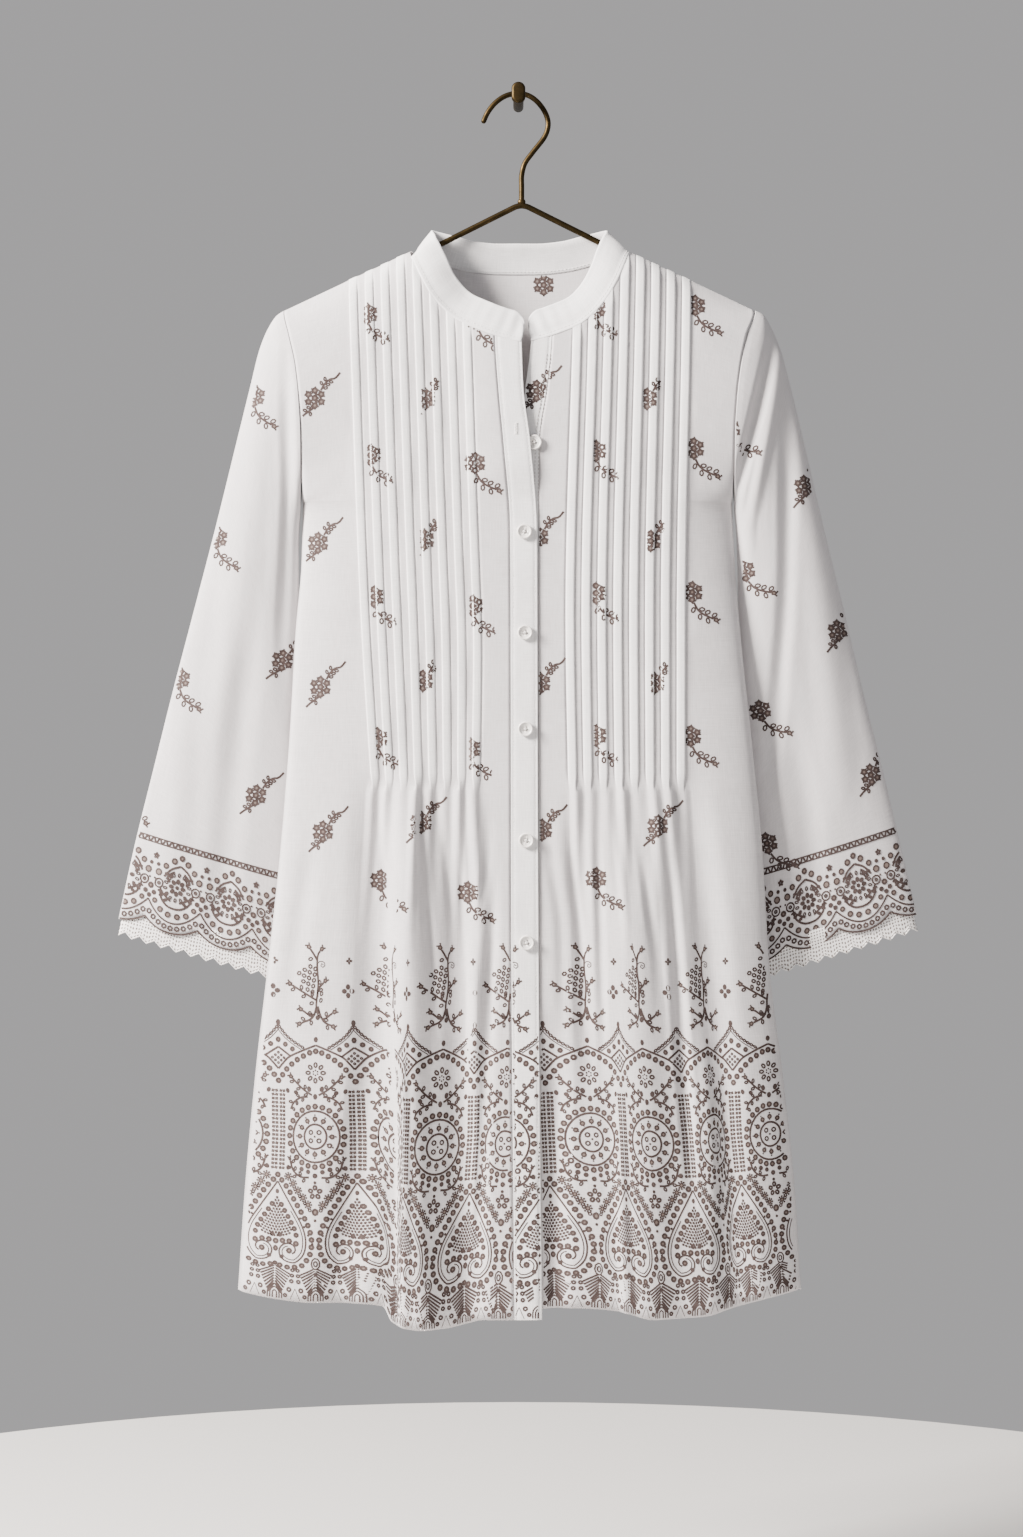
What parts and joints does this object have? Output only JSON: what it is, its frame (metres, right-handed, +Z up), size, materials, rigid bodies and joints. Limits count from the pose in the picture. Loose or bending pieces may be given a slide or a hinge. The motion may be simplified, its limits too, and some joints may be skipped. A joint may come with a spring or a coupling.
{
  "type": "kurta tunic on a wire hanger and wall peg",
  "caption": "Long pintucked kurta tunic with a band collar, buttoned front placket and flared sleeves edged with pointed lace, hung flat on a wire hanger from a wall peg.",
  "frame": {"origin": "centre of the wall peg at the wall face, which is what holds the whole part up", "axes": "+Z up, +X to the wearer's left, +Y into the wall, so that the front of the tunic faces -Y"},
  "size_m": [0.6962, 0.0776, 1.071],
  "materials": {
    "voile": "soft matte, fine even weave, printed",
    "doubled_voile": "soft matte, two plies",
    "lace": "matte corded lace",
    "button_shell": "pearly satin",
    "bronze": "dark antique satin"
  },
  "bodies": {
    "root": {"front_right": "voile", "front_left": "voile", "back": "voile", "sleeve_right": "voile", "sleeve_left": "voile", "placket_top": "doubled_voile", "placket_under": "doubled_voile", "collar_band": "doubled_voile", "cuff_lace_right": "lace", "cuff_lace_left": "lace", "button_1": "button_shell", "button_2": "button_shell", "button_3": "button_shell", "button_4": "button_shell", "button_5": "button_shell", "button_6": "button_shell", "hanger_hook": "bronze", "hanger_arms": "bronze", "wall_peg_stem": "bronze", "wall_peg_head": "bronze"}
  },
  "joints": []
}
